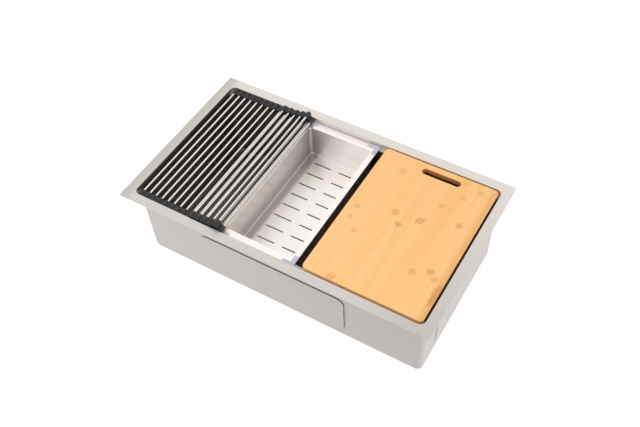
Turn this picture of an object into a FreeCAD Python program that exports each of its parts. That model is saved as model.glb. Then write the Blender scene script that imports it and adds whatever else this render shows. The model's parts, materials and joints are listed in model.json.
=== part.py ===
import FreeCAD, Part
import math
import os
import re

import Sketcher

# A workstation kitchen sink: a deep single bowl with a ledge along its front and back, and what rides on
# the ledge: a roll-up drying rack with its right end folded over, a slotted colander tray and a board.
# The origin is the middle of the opening, in the plane of the rim's top face. X runs along the rim to the
# right, Y to the back and Z up. Lengths are in millimetres and angles in degrees.

SIZES = [
    # the rim and the bowl
    ("rim_length", 838.2, "rim, left to right"),
    ("rim_width", 482.6, "rim, front to back"),
    ("rim_corner", 3.0, "radius of the rim's outer corners"),
    ("rim_flange", 25.4, "width of the flat rim round the opening"),
    ("rim_bend", 2.0, "radius where the rim turns down into the opening"),
    ("sheet", 1.2, "steel of the bowl"),
    ("opening_corner", 15.0, "radius of the opening's and the bowl's upright corners"),
    ("ledge_drop", 14.0, "rim's top face down to the ledge"),
    ("ledge_width", 12.7, "bearing width of the front and back ledge"),
    ("bowl_depth", 228.6, "rim's top face to the underside of the walls"),
    ("floor_round", 10.0, "inside radius between wall and floor"),
    ("floor_inset", 2.0, "from that radius to where the creased floor starts"),
    ("floor_fall", 3.0, "fall of the creased floor to the drain"),
    # the drain
    ("drain_back", 100.0, "drain's axis behind the middle of the bowl"),
    ("drain_flat", 126.0, "side of the flat square round the drain"),
    ("recess_radius", 59.0, "recess for the strainer's flange"),
    ("recess_depth", 3.0, "depth of that recess"),
    ("drain_hole", 44.5, "radius of the hole in the bowl"),
    # the sound pads
    ("pad_sheet", 3.0, "thickness of the sound pads"),
    ("pad_top", 72.0, "rim's top face down to the wall pads"),
    ("pad_height", 128.0, "height of the wall pads"),
    ("pad_corner", 20.0, "corner radius of the wall pads"),
    ("long_pad_left", -215.0, "left end of the front and back pads"),
    ("long_pad_right", 190.0, "right end of the front and back pads"),
    ("side_pad_half", 130.0, "half the length of the side pads"),
    ("floor_pad_length", 220.0, "floor pads, left to right"),
    ("floor_pad_width", 130.0, "floor pads, front to back"),
    ("floor_pad_offset", 130.0, "floor pads' near edges from the middle"),
    # the roll-up rack
    ("rod_diameter", 6.0, "drying rods"),
    ("rod_pitch", 18.47, "one rod to the next, along the silicone bands"),
    ("rack_end_gap", 14.7, "opening's left wall to the axis of the first rod"),
    ("bead_diameter", 11.9, "silicone bead round each rod's end"),
    ("web_height", 3.5, "silicone web between two beads"),
    ("band_fit", 1.7, "clearance of the bands in the opening, front and back"),
    ("band_width", 16.7, "width of the silicone bands"),
    ("socket_depth", 12.0, "how far a rod goes into its bead"),
    ("socket_fit", 0.1, "clearance round a rod in its bead"),
    ("soft_gap", 0.3, "gap between silicone and what it rests on or turns against"),
    ("bulge_angle", 12.0, "rise of the link that leaves the flat part"),
    ("fold_angle", 124.0, "direction of the link that stands up in the fold"),
    ("flap_angle_a", 199.6, "direction of the folded end's first link"),
    ("flap_angle_b", 192.0, "direction of its second link"),
    ("flap_angle_c", 183.0, "direction of its third link"),
    ("flap_angle_d", 180.0, "direction of its last link"),
    # the colander tray
    ("tray_under_rack", 11.7, "tray's left edge to the left of the rod that rises over it"),
    ("tray_length", 212.0, "tray's flange, left to right"),
    ("tray_fit", 0.9, "clearance of the tray's guards in the opening, front and back"),
    ("tray_sheet", 1.0, "steel of the tray"),
    ("tray_side_flange", 15.0, "flange beside the tray's left and right walls"),
    ("tray_end_flange", 22.0, "flange beyond the tray's front and back walls"),
    ("tray_depth", 93.5, "flange's top face down to the tray's floor"),
    ("tray_corner", 8.0, "radius of the tray's inside corners"),
    ("tray_rim_corner", 6.0, "radius of the flange's corners"),
    ("tray_floor_round", 4.0, "inside radius between the tray's wall and floor"),
    ("slot_length", 52.0, "drain slots in the tray"),
    ("slot_width", 3.5, "width of the slots"),
    ("slot_pitch", 40.0, "one row of slots to the next"),
    ("slot_spread", 37.5, "slot columns from the tray's middle"),
    ("guard_arm", 32.0, "arms of the corner guards"),
    ("guard_width", 12.0, "width of a guard's arm on the flange"),
    ("guard_top", 2.0, "thickness of a guard over the flange"),
    ("guard_lip", 1.0, "thickness of a guard round the flange's edge"),
    ("guard_corner", 3.0, "radius of a guard's outer corner"),
    ("guard_edge", 0.5, "rounding of a guard's top edges"),
    # the cutting board
    ("board_gap", 21.0, "tray's guards to the board"),
    ("board_end_gap", 5.7, "board to the opening's right wall"),
    ("board_fit", 5.9, "clearance of the board in the opening, front and back"),
    ("board_thick", 16.0, "thickness of the board"),
    ("board_corner", 11.0, "corner radius of the board"),
    ("board_edge", 2.0, "rounding of the board's edges"),
    ("grip_shift", 10.5, "grip slot to the right of the board's middle"),
    ("grip_inset", 26.0, "board's back edge to the middle of the grip slot"),
    ("grip_length", 103.0, "grip slot, end to end"),
    ("grip_width", 18.0, "width of the grip slot"),
    ("grip_edge", 1.5, "rounding of the grip slot"),
    # the strainer and the waste below it
    ("strainer_flange", 57.0, "radius of the strainer's flange"),
    ("strainer_sheet", 1.5, "wall of the strainer"),
    ("cup_radius", 43.0, "outside radius of the strainer's cup"),
    ("cup_depth", 34.0, "flange down to where the cup draws in"),
    ("seat_radius", 31.0, "inside radius at the foot of the stopper's seat"),
    ("seat_depth", 8.0, "height of the stopper's seat"),
    ("outlet_bore", 17.5, "radius of the outlet"),
    ("outlet_radius", 20.6, "outside radius of the outlet's threaded end"),
    ("outlet_length", 20.0, "length of that end"),
    ("spider_arm", 3.0, "width of the cross in the outlet"),
    ("spider_height", 4.0, "height of the cross"),
    ("spider_hub", 7.0, "radius of the cross's hub"),
    ("seal_thick", 1.0, "seal between the strainer's flange and the bowl"),
    ("gasket_thick", 3.0, "rubber gasket under the bowl"),
    ("washer_thick", 0.8, "slip washer under the gasket"),
    ("clamp_radius", 56.0, "outside radius of gasket, washer and lock nut"),
    ("thread_fit", 0.15, "clearance of the nuts and washers round the strainer"),
    ("lip_fit", 1.1, "clearance of the coupling nut's lip round the tailpiece"),
    ("lock_nut_height", 14.0, "height of the lock nut"),
    ("lug_length", 6.0, "how far a nut's lugs stand out"),
    ("lug_width", 9.0, "width of a nut's lugs"),
    ("lug_root", 2.0, "how far a lug reaches into its nut"),
    ("tail_radius", 19.05, "outside radius of the tailpiece"),
    ("tail_wall", 1.2, "wall of the tailpiece"),
    ("tail_length", 101.6, "length of the tailpiece"),
    ("tail_flange", 21.4, "radius of the tailpiece's flange"),
    ("tail_washer_thick", 2.0, "washer between outlet and tailpiece"),
    ("slip_nut_radius", 26.0, "outside radius of the coupling nut"),
    ("slip_nut_skirt", 5.0, "coupling nut below the tailpiece's flange"),
    ("slip_nut_grip", 14.0, "coupling nut above the tailpiece's flange"),
    # the strainer basket
    ("basket_radius", 40.5, "radius of the basket's rim"),
    ("basket_foot", 27.0, "radius of the basket's floor"),
    ("basket_drop", 5.0, "strainer's flange down to the basket's rim"),
    ("basket_sheet", 0.8, "steel of the basket"),
    ("basket_rim", 2.4, "width of the basket's rolled rim"),
    ("basket_hole", 2.2, "radius of the basket's drain holes"),
    ("floor_hole_circle", 18.0, "radius of the circle of holes in the basket's floor"),
    ("stopper_radius", 30.0, "radius of the rubber stopper"),
    ("stopper_thick", 4.0, "thickness of the rubber stopper"),
    ("post_radius", 2.5, "radius of the basket's post"),
    ("post_fit", 0.2, "clearance of the post in the cross"),
    ("knob_radius", 8.0, "radius of the post's knob"),
    ("knob_height", 9.0, "height of the knob"),
    ("knob_neck", 4.0, "radius where the knob meets its post"),
    ("knob_crown", 6.0, "radius of the knob's flat top"),
    ("knob_slope", 3.0, "height of the knob's lower and upper slopes"),
]

ROD_COUNT = 13
SLOT_ROWS = 9
NUT_LUGS = 6
BASKET_WALL_HOLES = 16
BASKET_FLOOR_HOLES = 8
SPIDER_ARMS = 4

FULL_TURN = 360.0

document = FreeCAD.newDocument("workstation_sink")
sheet = document.addObject("Spreadsheet::Sheet", "Sizes")
for row, (alias, number, meaning) in enumerate(SIZES, start=1):
    sheet.set(f"A{row}", meaning)
    sheet.set(f"B{row}", str(number))
    sheet.setAlias(f"B{row}", alias)
document.recompute()

ALIASES = {alias for alias, number, meaning in SIZES}
sub_parts = []


# expressions

def linked(expression):
    """The expression with each size's name pointing at its cell."""
    return re.sub(r"[a-z_]+", lambda m: "Sizes." + m.group() if m.group() in ALIASES else m.group(), expression)


def value(expression):
    """What an expression on the sizes comes to."""
    result = sheet.evalExpression(linked(expression))
    return float(getattr(result, "Value", result))


def bind(thing, prop, expression):
    thing.setExpression(prop, linked(expression))


def total(*terms):
    return " + ".join(f"({term})" for term in terms)


# places that several pieces share

HALF_OPENING_LENGTH = "rim_length / 2 - rim_flange"
HALF_OPENING_WIDTH = "rim_width / 2 - rim_flange"
HALF_BOWL_WIDTH = HALF_OPENING_WIDTH + " - ledge_width"
LEDGE = "-ledge_drop"
WALL_LENGTH_FACE = HALF_OPENING_LENGTH + " + sheet"
WALL_WIDTH_FACE = HALF_BOWL_WIDTH + " + sheet"
WALL_FOOT = "-bowl_depth"
FLOOR = "sheet - bowl_depth"
DRAIN_FLOOR = "sheet - bowl_depth - floor_fall"
RECESS_TOP = "sheet - bowl_depth - floor_fall - recess_depth"
RECESS_FOOT = "-bowl_depth - floor_fall - recess_depth"
PANEL_LENGTH = HALF_OPENING_LENGTH + " - floor_round - floor_inset"
PANEL_WIDTH = HALF_BOWL_WIDTH + " - floor_round - floor_inset"

STRAINER_FLANGE_FOOT = total(RECESS_TOP, "seal_thick")
STRAINER_TOP = total(STRAINER_FLANGE_FOOT, "strainer_sheet")
CUP_FOOT = total(STRAINER_TOP, "-cup_depth")
SEAT_FOOT = total(CUP_FOOT, "-seat_depth")
CUP_UNDERSIDE = total(SEAT_FOOT, "-strainer_sheet")
OUTLET_FOOT = total(CUP_UNDERSIDE, "-outlet_length")
GASKET_FOOT = total(RECESS_FOOT, "-gasket_thick")
WASHER_FOOT = total(GASKET_FOOT, "-washer_thick")
LOCK_NUT_FOOT = total(WASHER_FOOT, "-lock_nut_height")
TAIL_TOP = total(OUTLET_FOOT, "-tail_washer_thick")

RACK_FIRST = f"rack_end_gap - ({HALF_OPENING_LENGTH})"
BAND_OUTER = HALF_OPENING_WIDTH + " - band_fit"
BAND_INNER = BAND_OUTER + " - band_width"
ROD_HEIGHT = "bead_diameter / 2 + soft_gap - ledge_drop"
FOLD_LINKS = ["bulge_angle", "fold_angle", "flap_angle_a", "flap_angle_b", "flap_angle_c", "flap_angle_d"]
BULGE_ROD = ROD_COUNT
FOLD_ROD = ROD_COUNT + 1
LAST_ROD = ROD_COUNT + len(FOLD_LINKS) - 1


def rod_place(number):
    """The X and Z of a rod's axis: level rods first, then one link after another round the fold."""
    level = min(number, ROD_COUNT - 1)
    links = FOLD_LINKS[:number - level]
    across = total(RACK_FIRST, f"{level} * rod_pitch", *(f"rod_pitch * cos({a})" for a in links))
    height = total(ROD_HEIGHT, *(f"rod_pitch * sin({a})" for a in links))
    return across, height


TRAY_LEFT = total(rod_place(BULGE_ROD)[0], "-tray_under_rack")
TRAY_RIGHT = total(TRAY_LEFT, "tray_length")
TRAY_MIDDLE = total(TRAY_LEFT, "tray_length / 2")
TRAY_HALF = HALF_OPENING_WIDTH + " - tray_fit - guard_lip"
TRAY_TOP = "tray_sheet - ledge_drop"
TRAY_FLOOR = total(TRAY_TOP, "-tray_depth")

BOARD_LEFT = total(TRAY_RIGHT, "guard_lip", "board_gap")
BOARD_RIGHT = HALF_OPENING_LENGTH + " - board_end_gap"
BOARD_HALF = HALF_OPENING_WIDTH + " - board_fit"
BOARD_TOP = total(LEDGE, "board_thick")
GRIP_MIDDLE = f"({BOARD_LEFT}) / 2 + ({BOARD_RIGHT}) / 2 + grip_shift"
GRIP_BACK = BOARD_HALF + " - grip_inset"


# drawing

def new_body(name):
    body = document.addObject("PartDesign::Body", name)
    body.Label = name
    sub_parts.append(body)
    return body


def origin_feature(body, role):
    return next(feature for feature in body.Origin.OriginFeatures if feature.Role == role)


def new_sketch(body, role="XY_Plane", offset="0"):
    sketch = body.newObject("Sketcher::SketchObject", "Sketch")
    sketch.AttachmentSupport = (origin_feature(body, role), [""])
    sketch.MapMode = "FlatFace"
    bind(sketch, "AttachmentOffset.Base.z", offset)
    return sketch


def dimension(sketch, constraint, expression):
    """A named dimension of a sketch that follows an expression."""
    index = sketch.addConstraint(constraint)
    name = f"size_{index}"
    sketch.renameConstraint(index, name)
    bind(sketch, "Constraints." + name, expression)


def draw_polygon(sketch, corners):
    """A closed outline through the given places, each a pair of expressions."""
    points = [FreeCAD.Vector(value(x), value(y), 0) for x, y in corners]
    first = sketch.GeometryCount
    count = len(corners)
    for n in range(count):
        sketch.addGeometry(Part.LineSegment(points[n], points[(n + 1) % count]), False)
    for n in range(count):
        sketch.addConstraint(Sketcher.Constraint("Coincident", first + n, 2, first + (n + 1) % count, 1))
    for n, (x, y) in enumerate(corners):
        dimension(sketch, Sketcher.Constraint("DistanceX", first + n, 1, points[n].x), x)
        dimension(sketch, Sketcher.Constraint("DistanceY", first + n, 1, points[n].y), y)


def draw_circle(sketch, x, y, radius):
    centre = FreeCAD.Vector(value(x), value(y), 0)
    circle = sketch.addGeometry(Part.Circle(centre, FreeCAD.Vector(0, 0, 1), value(radius)), False)
    dimension(sketch, Sketcher.Constraint("Radius", circle, value(radius)), radius)
    dimension(sketch, Sketcher.Constraint("DistanceX", circle, 3, centre.x), x)
    dimension(sketch, Sketcher.Constraint("DistanceY", circle, 3, centre.y), y)


def draw_arc(sketch, centre, radius, start, end):
    circle = Part.Circle(FreeCAD.Vector(*centre, 0), FreeCAD.Vector(0, 0, 1), radius)
    return sketch.addGeometry(Part.ArcOfCircle(circle, math.radians(start), math.radians(end)), False)


def draw_line(sketch, start, end):
    return sketch.addGeometry(Part.LineSegment(FreeCAD.Vector(*start, 0), FreeCAD.Vector(*end, 0)), False)


def draw_rounded(sketch, left, right, low, high, radius):
    """A rectangle with rounded corners between four expressions."""
    west, east, south, north, turn = (value(e) for e in (left, right, low, high, radius))
    sides = [
        draw_line(sketch, (west + turn, south), (east - turn, south)),
        draw_line(sketch, (east, south + turn), (east, north - turn)),
        draw_line(sketch, (east - turn, north), (west + turn, north)),
        draw_line(sketch, (west, north - turn), (west, south + turn)),
    ]
    turns = [
        draw_arc(sketch, (east - turn, south + turn), turn, -90, 0),
        draw_arc(sketch, (east - turn, north - turn), turn, 0, 90),
        draw_arc(sketch, (west + turn, north - turn), turn, 90, 180),
        draw_arc(sketch, (west + turn, south + turn), turn, 180, 270),
    ]
    for n in range(4):
        sketch.addConstraint(Sketcher.Constraint("Tangent", sides[n], 2, turns[n], 1))
        sketch.addConstraint(Sketcher.Constraint("Tangent", turns[n], 2, sides[(n + 1) % 4], 1))
        sketch.addConstraint(Sketcher.Constraint("Vertical" if n % 2 else "Horizontal", sides[n]))
    for turned in turns[1:]:
        sketch.addConstraint(Sketcher.Constraint("Equal", turns[0], turned))
    dimension(sketch, Sketcher.Constraint("Radius", turns[0], turn), radius)
    dimension(sketch, Sketcher.Constraint("DistanceY", sides[0], 1, south), low)
    dimension(sketch, Sketcher.Constraint("DistanceX", sides[1], 1, east), right)
    dimension(sketch, Sketcher.Constraint("DistanceY", sides[2], 1, north), high)
    dimension(sketch, Sketcher.Constraint("DistanceX", sides[3], 1, west), left)


def draw_slot(sketch, x, y, length, width):
    """A slot along the sketch's first axis, with half-round ends."""
    radius = f"({width}) / 2"
    reach = f"({length}) / 2 - ({width}) / 2"
    middle, level, turn, half = value(x), value(y), value(radius), value(reach)
    top = draw_line(sketch, (middle + half, level + turn), (middle - half, level + turn))
    left = draw_arc(sketch, (middle - half, level), turn, 90, 270)
    foot = draw_line(sketch, (middle - half, level - turn), (middle + half, level - turn))
    right = draw_arc(sketch, (middle + half, level), turn, -90, 90)
    outline = [top, left, foot, right]
    for n in range(4):
        sketch.addConstraint(Sketcher.Constraint("Tangent", outline[n], 2, outline[(n + 1) % 4], 1))
    dimension(sketch, Sketcher.Constraint("Radius", left, turn), radius)
    for end, sign in ((left, -1), (right, 1)):
        dimension(sketch, Sketcher.Constraint("DistanceX", end, 3, middle + sign * half),
                  f"({x}) + ({sign}) * ({reach})")
        dimension(sketch, Sketcher.Constraint("DistanceY", end, 3, level), y)


# shaping

def pad(body, sketch, length, down=False):
    feature = body.newObject("PartDesign::Pad", "Pad")
    feature.Profile = sketch
    feature.Reversed = down
    bind(feature, "Length", length)
    document.recompute()
    return feature


def pocket(body, sketch, depth, up=False):
    """A cut that goes down from its sketch, or up."""
    before = body.Shape.Volume
    feature = body.newObject("PartDesign::Pocket", "Pocket")
    feature.Profile = sketch
    feature.Reversed = up
    bind(feature, "Length", depth)
    document.recompute()
    if body.Shape.Volume >= before:
        raise RuntimeError(body.Label + ": a pocket cut nothing")
    return feature


def revolve(body, corners):
    """A turned piece: an outline of radius and height, spun about the body's Z axis."""
    sketch = new_sketch(body, "XZ_Plane")
    draw_polygon(sketch, corners)
    feature = body.newObject("PartDesign::Revolution", "Revolution")
    feature.Profile = sketch
    feature.ReferenceAxis = (sketch, ["V_Axis"])
    feature.Angle = FULL_TURN
    document.recompute()
    return feature


def fillet(body, base, edges, radius):
    feature = body.newObject("PartDesign::Fillet", "Fillet")
    feature.Base = (base, edges)
    bind(feature, "Radius", radius)
    document.recompute()
    return feature


def hollow_out(body, hollow):
    """Cuts another body, the space inside, out of this one."""
    hollowed = body.newObject("PartDesign::Boolean", "Hollowed")
    hollowed.setObjects([hollow])
    hollowed.Type = "Cut"
    document.recompute()
    return hollowed


def around_axis(body, feature, count):
    pattern = body.newObject("PartDesign::PolarPattern", "PolarPattern")
    pattern.Originals = [feature]
    pattern.Axis = (origin_feature(body, "Z_Axis"), [""])
    pattern.Angle = FULL_TURN
    pattern.Occurrences = count
    body.Tip = pattern
    document.recompute()
    return pattern


def along_axis(body, feature, role, length, count):
    pattern = body.newObject("PartDesign::LinearPattern", "LinearPattern")
    pattern.Originals = [feature]
    pattern.Direction = (origin_feature(body, role), [""])
    bind(pattern, "Length", length)
    pattern.Occurrences = count
    body.Tip = pattern
    document.recompute()
    return pattern


NEAR = 0.001


def edges_at(feature, height, keep=lambda box: True):
    """The edges that lie level at a height, and pass a test of their box."""
    level = value(height)
    names = []
    for n, edge in enumerate(feature.Shape.Edges, start=1):
        box = edge.BoundBox
        if abs(box.ZMin - level) < NEAR and abs(box.ZMax - level) < NEAR and keep(box):
            names.append(f"Edge{n}")
    return names


def upright_edges(feature, keep):
    """The straight edges along Z that pass a test of their middle."""
    names = []
    for n, edge in enumerate(feature.Shape.Edges, start=1):
        box = edge.BoundBox
        if box.XLength < NEAR and box.YLength < NEAR and box.ZLength > NEAR and keep(edge.CenterOfMass):
            names.append(f"Edge{n}")
    return names


def place_on_drain(body):
    bind(body, "Placement.Base.y", "drain_back")


# the bowl

def slab(body, half_length, half_width, corner, top, thickness):
    """A rounded plate round the middle, from its top down."""
    sketch = new_sketch(body, offset=top)
    draw_rounded(sketch, f"-({half_length})", half_length, f"-({half_width})", half_width, corner)
    return pad(body, sketch, thickness, down=True)


def panel_sketch(body, half_length, half_width, middle, height):
    """A level rectangle, where a creased floor starts or ends."""
    sketch = new_sketch(body, offset=height)
    west, east = f"-({half_length})", half_length
    south, north = total(middle, f"-({half_width})"), total(middle, half_width)
    draw_polygon(sketch, [(west, south), (east, south), (east, north), (west, north)])
    return sketch


def creased_floor(body, height):
    """Four planes that fall from the floor's edge to the square round the drain."""
    rim = panel_sketch(body, PANEL_LENGTH, PANEL_WIDTH, "0", height)
    square = panel_sketch(body, "drain_flat / 2", "drain_flat / 2", "drain_back", total(height, "-floor_fall"))
    creases = body.newObject("PartDesign::AdditiveLoft", "Creases")
    creases.Profile = rim
    creases.Sections = [square]
    creases.Ruled = True
    document.recompute()


def drain_disc(body, radius, top, depth):
    sketch = new_sketch(body, offset=top)
    draw_circle(sketch, "0", "drain_back", radius)
    pad(body, sketch, depth, down=True)


def bowl_form(body, skin):
    """The ledge's trough, the bowl, its creased floor and the recess round the drain, grown by a skin."""
    length, corner = total(HALF_OPENING_LENGTH, skin), total("opening_corner", skin)
    foot = total(FLOOR, f"-{skin}")
    slab(body, length, total(HALF_OPENING_WIDTH, skin), corner, "0", total("ledge_drop", skin))
    walls = slab(body, length, total(HALF_BOWL_WIDTH, skin), corner, "0", f"-({foot})")
    fillet(body, walls, edges_at(walls, foot), total("floor_round", skin))
    creased_floor(body, foot)
    recess_start = total(foot, "-floor_fall", "recess_depth")
    drain_disc(body, total("recess_radius", skin), recess_start, "2 * recess_depth")


def make_bowl():
    hollow = document.addObject("PartDesign::Body", "bowl_hollow")
    bowl_form(hollow, "0")
    drain_disc(hollow, "drain_hole", RECESS_TOP, "2 * sheet")

    body = new_body("bowl")
    slab(body, "rim_length / 2", "rim_width / 2", "rim_corner", "0", "sheet")
    bowl_form(body, "sheet")
    hollowed = hollow_out(body, hollow)

    def within_opening(box):
        along = max(abs(box.XMin), abs(box.XMax)) < value(HALF_OPENING_LENGTH) + NEAR
        across = max(abs(box.YMin), abs(box.YMax)) < value(HALF_OPENING_WIDTH) + NEAR
        return along and across

    fillet(body, hollowed, edges_at(hollowed, "0", within_opening), "rim_bend")


# the sound pads

def make_wall_pad(name, role, face, left, right, outward):
    """A rubber pad on a wall. The plane's normal points to the front, or to the right."""
    body = new_body(name)
    sketch = new_sketch(body, role, face)
    draw_rounded(sketch, left, right, "-pad_top - pad_height", "-pad_top", "pad_corner")
    pad(body, sketch, "pad_sheet", down=not outward)


def make_floor_pad(name, side):
    """A pad on the creased floor's underside, tilted as its panel is."""
    run = f"({PANEL_LENGTH} - drain_flat / 2)"
    tilt = f"atan(floor_fall / {run})"
    box = document.addObject("Part::Box", name)
    box.Label = name
    sub_parts.append(box)
    bind(box, "Length", "floor_pad_length")
    bind(box, "Width", "floor_pad_width")
    bind(box, "Height", "pad_sheet")
    near = "floor_pad_offset" if side > 0 else "-floor_pad_offset - floor_pad_length"
    from_edge = f"({PANEL_LENGTH} - abs({near}))"
    height = f"-bowl_depth - floor_fall * {from_edge} / {run}"
    box.Placement = FreeCAD.Placement(FreeCAD.Vector(), FreeCAD.Rotation(FreeCAD.Vector(0, 1, 0), 1))
    bind(box, "Placement.Rotation.Angle", f"{-side} * {tilt}")
    bind(box, "Placement.Base.x", f"{near} + {side} * pad_sheet * sin({tilt})")
    bind(box, "Placement.Base.y", "drain_back - floor_pad_width / 2")
    bind(box, "Placement.Base.z", f"{height} - pad_sheet * cos({tilt})")


def make_pads():
    make_wall_pad("front_sound_pad", "XZ_Plane", WALL_WIDTH_FACE, "long_pad_left", "long_pad_right", True)
    make_wall_pad("back_sound_pad", "XZ_Plane", f"-({WALL_WIDTH_FACE})", "long_pad_left", "long_pad_right", False)
    make_wall_pad("right_sound_pad", "YZ_Plane", WALL_LENGTH_FACE, "-side_pad_half", "side_pad_half", True)
    make_wall_pad("left_sound_pad", "YZ_Plane", f"-({WALL_LENGTH_FACE})", "-side_pad_half", "side_pad_half", False)
    make_floor_pad("left_floor_pad", -1)
    make_floor_pad("right_floor_pad", 1)


# the roll-up rack

def make_rod(number):
    rod = document.addObject("Part::Cylinder", f"rod_{number + 1:02d}")
    rod.Label = rod.Name
    sub_parts.append(rod)
    across, height = rod_place(number)
    rod.Placement = FreeCAD.Placement(FreeCAD.Vector(), FreeCAD.Rotation(FreeCAD.Vector(1, 0, 0), -90))
    bind(rod, "Radius", "rod_diameter / 2")
    bind(rod, "Height", f"2 * ({BAND_INNER} + socket_depth)")
    bind(rod, "Placement.Base.x", across)
    bind(rod, "Placement.Base.y", f"-({BAND_INNER}) - socket_depth")
    bind(rod, "Placement.Base.z", height)


def web_corners(start, end):
    """A straight web from one rod's axis to another's, as four corners."""
    (x, z), (far_x, far_z) = rod_place(start), rod_place(end)
    run = f"({end - start} * rod_pitch)"
    side_x = f"(({far_z}) - ({z})) / {run} * web_height / 2"
    side_z = f"(({far_x}) - ({x})) / {run} * web_height / 2"
    return [
        (f"{x} + {side_x}", f"{z} - {side_z}"),
        (f"{far_x} + {side_x}", f"{far_z} - {side_z}"),
        (f"{far_x} - {side_x}", f"{far_z} + {side_z}"),
        (f"{x} - {side_x}", f"{z} + {side_z}"),
    ]


def make_band(name, side, webs, beads, turns_round=None):
    """A silicone band at the front or the back: webs, a bead for each rod, and the rods' sockets."""
    body = new_body(name)
    front = side < 0
    inner = BAND_INNER if front else f"-({BAND_INNER})"
    for start, end in webs:
        sketch = new_sketch(body, "XZ_Plane", inner)
        draw_polygon(sketch, web_corners(start, end))
        pad(body, sketch, "band_width", down=not front)
    sketch = new_sketch(body, "XZ_Plane", inner)
    for number in beads:
        draw_circle(sketch, *rod_place(number), "bead_diameter / 2")
    pad(body, sketch, "band_width", down=not front)
    sketch = new_sketch(body, "XZ_Plane", inner)
    for number in beads:
        draw_circle(sketch, *rod_place(number), "rod_diameter / 2 + socket_fit")
    pocket(body, sketch, "socket_depth", up=front)
    if turns_round is not None:
        sketch = new_sketch(body, "XZ_Plane", inner)
        draw_circle(sketch, *rod_place(turns_round), "bead_diameter / 2 + soft_gap")
        pocket(body, sketch, "band_width", up=front)


def make_rack():
    for number in range(LAST_ROD + 1):
        make_rod(number)
    for end, side in (("front", -1), ("back", 1)):
        level_webs = [(0, BULGE_ROD - 1), (BULGE_ROD - 1, BULGE_ROD)]
        flap_webs = [(n, n + 1) for n in range(FOLD_ROD, LAST_ROD)]
        make_band(f"rack_band_{end}", side, level_webs, range(BULGE_ROD + 1))
        make_band(f"fold_band_{end}", side, [(BULGE_ROD, FOLD_ROD)], [FOLD_ROD], BULGE_ROD)
        make_band(f"flap_band_{end}", side, flap_webs, range(FOLD_ROD + 1, LAST_ROD + 1), FOLD_ROD)


# the colander tray

def basin_form(body, skin):
    """The tray's basin, grown by a skin."""
    half = total(TRAY_HALF, "-tray_end_flange", skin)
    sketch = new_sketch(body, offset=TRAY_TOP)
    draw_rounded(sketch, total(TRAY_LEFT, "tray_side_flange", f"-{skin}"),
                 total(TRAY_RIGHT, "-tray_side_flange", skin), f"-({half})", half, total("tray_corner", skin))
    basin = pad(body, sketch, total("tray_depth", skin), down=True)
    foot = total(TRAY_FLOOR, f"-{skin}")
    fillet(body, basin, edges_at(basin, foot), total("tray_floor_round", skin))


def make_tray():
    hollow = document.addObject("PartDesign::Body", "tray_hollow")
    basin_form(hollow, "0")
    sketch = new_sketch(hollow, offset=total(TRAY_FLOOR, "tray_sheet"))
    for column in ("-slot_spread", "slot_spread"):
        draw_slot(sketch, total(TRAY_MIDDLE, column), f"-slot_pitch * {SLOT_ROWS - 1} / 2", "slot_length",
                  "slot_width")
    first_row = pad(hollow, sketch, "3 * tray_sheet", down=True)
    along_axis(hollow, first_row, "Y_Axis", f"slot_pitch * {SLOT_ROWS - 1}", SLOT_ROWS)

    body = new_body("colander_tray")
    sketch = new_sketch(body, offset=TRAY_TOP)
    draw_rounded(sketch, TRAY_LEFT, TRAY_RIGHT, f"-({TRAY_HALF})", TRAY_HALF, "tray_rim_corner")
    pad(body, sketch, "tray_sheet", down=True)
    basin_form(body, "tray_sheet")
    hollow_out(body, hollow)


def guard_outline(side_x, side_y, edge_x, edge_y, width_x, width_y):
    """An L round a corner of the flange, from its outer corner inwards."""
    def at(x, y):
        return f"({edge_x}) - ({side_x}) * ({x})", f"({edge_y}) - ({side_y}) * ({y})"
    return [at("0", "0"), at("guard_arm", "0"), at("guard_arm", width_y), at(width_x, width_y),
            at(width_x, "guard_arm"), at("0", "guard_arm")]


def make_guard(name, side_x, side_y):
    body = new_body(name)
    edge_x = total(TRAY_RIGHT, "guard_lip") if side_x > 0 else total(TRAY_LEFT, "-guard_lip")
    edge_y = f"{side_y} * ({TRAY_HALF} + guard_lip)"
    sketch = new_sketch(body, offset=TRAY_TOP)
    draw_polygon(sketch, guard_outline(side_x, side_y, edge_x, edge_y, "guard_width", "guard_width"))
    pad(body, sketch, "guard_top")
    sketch = new_sketch(body, offset=TRAY_TOP)
    draw_polygon(sketch, guard_outline(side_x, side_y, edge_x, edge_y, "guard_lip", "guard_lip"))
    lip = pad(body, sketch, "tray_sheet", down=True)

    corner_x, corner_y = value(edge_x), value(edge_y)

    def outer_corner(middle):
        return abs(middle.x - corner_x) < NEAR and abs(middle.y - corner_y) < NEAR

    rounded = fillet(body, lip, upright_edges(lip, outer_corner), "guard_corner")
    fillet(body, rounded, edges_at(rounded, total(TRAY_TOP, "guard_top")), "guard_edge")


def make_guards():
    for end, side_y in (("front", -1), ("back", 1)):
        for hand, side_x in (("left", -1), ("right", 1)):
            make_guard(f"corner_guard_{end}_{hand}", side_x, side_y)


# the cutting board

def make_board():
    body = new_body("cutting_board")
    sketch = new_sketch(body, offset=BOARD_TOP)
    draw_rounded(sketch, BOARD_LEFT, BOARD_RIGHT, f"-({BOARD_HALF})", BOARD_HALF, "board_corner")
    blank = pad(body, sketch, "board_thick", down=True)
    fillet(body, blank, edges_at(blank, BOARD_TOP) + edges_at(blank, LEDGE), "board_edge")
    sketch = new_sketch(body, offset=BOARD_TOP)
    draw_slot(sketch, GRIP_MIDDLE, GRIP_BACK, "grip_length", "grip_width")
    grip = pocket(body, sketch, "board_thick")

    def on_grip(box):
        near_x = abs(box.Center.x - value(GRIP_MIDDLE)) <= value("grip_length / 2") + NEAR
        near_y = abs(box.Center.y - value(GRIP_BACK)) <= value("grip_width / 2") + NEAR
        return near_x and near_y

    fillet(body, grip, edges_at(grip, BOARD_TOP, on_grip) + edges_at(grip, LEDGE, on_grip), "grip_edge")


# the strainer and the waste

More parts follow.
